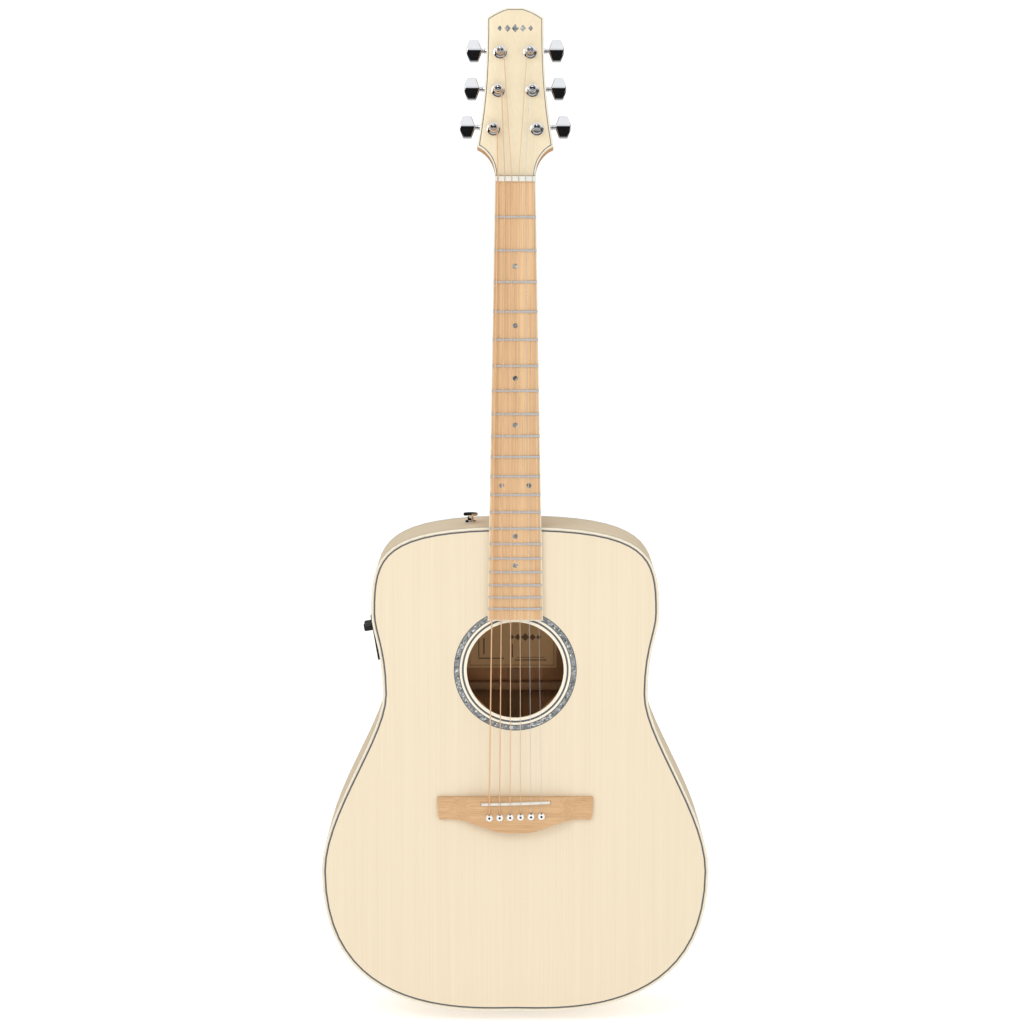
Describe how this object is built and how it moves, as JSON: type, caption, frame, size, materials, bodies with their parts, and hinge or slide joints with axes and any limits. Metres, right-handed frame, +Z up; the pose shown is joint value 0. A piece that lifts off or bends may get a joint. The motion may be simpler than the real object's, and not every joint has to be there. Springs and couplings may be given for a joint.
{
  "type": "electro-acoustic guitar",
  "caption": "Steel-string dreadnought electro-acoustic guitar with a pale spruce top, maple fretboard and bridge, shell-ringed soundhole, chrome tuners and a side preamp.",
  "frame": {"origin": "centre of the output jack's mouth at the tail end, the lowest point", "axes": "+Z up the neck, -Y out of the soundboard, +X to the treble side"},
  "size_m": [0.4104, 0.1338, 1.0707],
  "materials": {
    "spruce_top": "satin natural spruce",
    "back_wood": "satin pale figured maple",
    "side_wood": "satin pale figured maple",
    "ivory_binding": "cream binding",
    "dark_lines": "thin dark lines",
    "abalone": "polished grey shell",
    "mahogany": "plain mahogany",
    "brace_spruce": "bare spruce",
    "label_paper": "plain ruled label",
    "neck_maple": "satin maple",
    "head_maple": "satin pale overlay",
    "board_maple": "oiled maple",
    "fret_nickel": "polished nickel silver",
    "white_bone": "polished bone",
    "pin_plastic": "white pin",
    "bridge_maple": "satin maple",
    "bronze_wound": "bronze-wound string",
    "plain_steel": "plain steel string",
    "chrome": "polished chrome",
    "rod_steel": "plain steel",
    "nut_brass": "turned brass",
    "black_plastic": "moulded black",
    "battery_shell": "plain grey cell",
    "pickup_strip": "braided copper strip",
    "wire_rubber": "black wire"
  },
  "bodies": {
    "guitar": {"soundboard": "spruce_top", "back_plate": "back_wood", "side_bass": "side_wood", "side_treble": "side_wood", "top_binding": "ivory_binding", "back_binding": "ivory_binding", "top_purfling": "dark_lines", "rosette": "abalone", "rosette_lines": "dark_lines", "neck_block": "mahogany", "tail_block": "mahogany", "linings": "brace_spruce", "top_braces": "brace_spruce", "bridge_plate": "bridge_maple", "back_braces": "brace_spruce", "soundhole_label": "label_paper", "neck": "neck_maple", "heel_cap": "ivory_binding", "headstock_overlay": "head_maple", "headstock_binding": "ivory_binding", "headstock_line": "dark_lines", "headstock_ornament": "abalone", "fretboard": "board_maple", "fretboard_binding": "ivory_binding", "frets": "fret_nickel", "fret_markers": "abalone", "nut": "white_bone", "truss_rod": "rod_steel", "bridge": "bridge_maple", "saddle": "white_bone", "saddle_pickup": "pickup_strip", "bridge_pins": "pin_plastic", "wound_strings": "bronze_wound", "plain_strings": "plain_steel", "tuner_housings": "chrome", "tuner_bushings": "chrome", "tuner_screws": "chrome", "preamp_panel": "black_plastic", "preamp_box": "black_plastic", "battery": "battery_shell", "output_jack": "chrome", "strap_button": "chrome", "pickup_wires": "wire_rubber"},
    "key_1": {"tuner_key_1": "chrome"},
    "post_1": {"string_post_1": "chrome"},
    "key_2": {"tuner_key_2": "chrome"},
    "post_2": {"string_post_2": "chrome"},
    "key_3": {"tuner_key_3": "chrome"},
    "post_3": {"string_post_3": "chrome"},
    "key_4": {"tuner_key_4": "chrome"},
    "post_4": {"string_post_4": "chrome"},
    "key_5": {"tuner_key_5": "chrome"},
    "post_5": {"string_post_5": "chrome"},
    "key_6": {"tuner_key_6": "chrome"},
    "post_6": {"string_post_6": "chrome"},
    "volume_knob": {"volume_knob": "black_plastic"},
    "tone_knob": {"tone_knob": "black_plastic"},
    "tuner_button": {"tuner_button": "black_plastic"},
    "battery_door": {"battery_door": "black_plastic"},
    "truss_nut": {"truss_nut": "nut_brass"}
  },
  "joints": [
    {"name": "key_1_turn", "type": "hinge", "parent": "guitar", "child": "key_1", "pos_m": [-0.0324, -0.02697, 0.94745], "axis": [-1, 0, 0], "continuous": true},
    {"name": "post_1_turn", "type": "hinge", "parent": "guitar", "child": "post_1", "pos_m": [-0.0224, -0.04815, 0.9452], "axis": [0, -0.9703, 0.2419], "continuous": true},
    {"name": "key_2_turn", "type": "hinge", "parent": "guitar", "child": "key_2", "pos_m": [-0.0278, -0.0171, 0.98703], "axis": [-1, 0, 0], "continuous": true},
    {"name": "post_2_turn", "type": "hinge", "parent": "guitar", "child": "post_2", "pos_m": [-0.0178, -0.03828, 0.98479], "axis": [0, -0.9703, 0.2419], "continuous": true},
    {"name": "key_3_turn", "type": "hinge", "parent": "guitar", "child": "key_3", "pos_m": [-0.0255, -0.00726, 1.02653], "axis": [-1, 0, 0], "continuous": true},
    {"name": "post_3_turn", "type": "hinge", "parent": "guitar", "child": "post_3", "pos_m": [-0.0155, -0.02843, 1.02428], "axis": [0, -0.9703, 0.2419], "continuous": true},
    {"name": "key_4_turn", "type": "hinge", "parent": "guitar", "child": "key_4", "pos_m": [0.0255, -0.00726, 1.02653], "axis": [1, 0, 0], "continuous": true},
    {"name": "post_4_turn", "type": "hinge", "parent": "guitar", "child": "post_4", "pos_m": [0.0155, -0.02843, 1.02428], "axis": [0, -0.9703, 0.2419], "continuous": true},
    {"name": "key_5_turn", "type": "hinge", "parent": "guitar", "child": "key_5", "pos_m": [0.0278, -0.0171, 0.98703], "axis": [1, 0, 0], "continuous": true},
    {"name": "post_5_turn", "type": "hinge", "parent": "guitar", "child": "post_5", "pos_m": [0.0178, -0.03828, 0.98479], "axis": [0, -0.9703, 0.2419], "continuous": true},
    {"name": "key_6_turn", "type": "hinge", "parent": "guitar", "child": "key_6", "pos_m": [0.0324, -0.02697, 0.94745], "axis": [1, 0, 0], "continuous": true},
    {"name": "post_6_turn", "type": "hinge", "parent": "guitar", "child": "post_6", "pos_m": [0.0224, -0.04815, 0.9452], "axis": [0, -0.9703, 0.2419], "continuous": true},
    {"name": "volume_turn", "type": "hinge", "parent": "guitar", "child": "volume_knob", "pos_m": [-0.1533, -0.032, 0.42282], "axis": [-0.9863, 0, -0.165], "range_deg": [-140, 140]},
    {"name": "tone_turn", "type": "hinge", "parent": "guitar", "child": "tone_knob", "pos_m": [-0.1533, -0.014, 0.42282], "axis": [-0.9863, 0, -0.165], "range_deg": [-140, 140]},
    {"name": "tuner_button_press", "type": "slide", "parent": "guitar", "child": "tuner_button", "axis": [0.9863, 0, 0.165], "range_m": [0, 0.001], "stiffness_N_per_m": 400},
    {"name": "battery_door_swing", "type": "hinge", "parent": "guitar", "child": "battery_door", "pos_m": [-0.14449, -0.012, 0.39256], "axis": [0, -1, 0], "range_deg": [0, 100]},
    {"name": "truss_nut_turn", "type": "hinge", "parent": "guitar", "child": "truss_nut", "pos_m": [0, -0.0505, 0.48416], "axis": [0, 0, 1], "range_deg": [-180, 180]}
  ],
  "couplings": [
    {"joint": "post_1_turn", "follows": "key_1_turn", "ratio": 0.0625},
    {"joint": "post_2_turn", "follows": "key_2_turn", "ratio": 0.0625},
    {"joint": "post_3_turn", "follows": "key_3_turn", "ratio": 0.0625},
    {"joint": "post_4_turn", "follows": "key_4_turn", "ratio": 0.0625},
    {"joint": "post_5_turn", "follows": "key_5_turn", "ratio": 0.0625},
    {"joint": "post_6_turn", "follows": "key_6_turn", "ratio": 0.0625}
  ]
}
